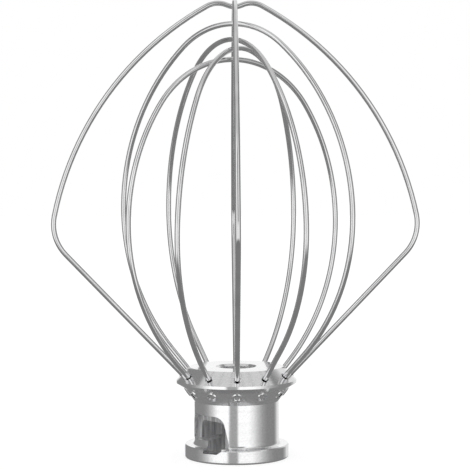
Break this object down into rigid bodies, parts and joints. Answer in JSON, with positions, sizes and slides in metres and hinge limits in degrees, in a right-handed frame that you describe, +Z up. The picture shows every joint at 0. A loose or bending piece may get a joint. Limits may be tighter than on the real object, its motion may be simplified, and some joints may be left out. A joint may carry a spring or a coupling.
{
  "type": "stand mixer wire whip",
  "caption": "Wire whip for a stand mixer: nested bent wire loops in a turned hub with a central bore and a bayonet slot.",
  "frame": {"origin": "centre of the hub's base, on the surface that the whip stands on", "axes": "+Z up along the bore, from the hub to the crown of the loops; -Y towards the front, through the first wire hole; the bayonet window is at the front left, -X -Y"},
  "size_m": [0.1318, 0.1318, 0.1637],
  "materials": {
    "hub": "satin, turned",
    "wire": "polished stainless wire"
  },
  "bodies": {
    "root": {"hub": "hub", "wire_front_loop": "wire", "wire_side_loop": "wire", "wire_inner_loop_1": "wire", "wire_inner_loop_2": "wire", "wire_inner_loop_3": "wire", "wire_inner_loop_4": "wire"}
  },
  "joints": []
}
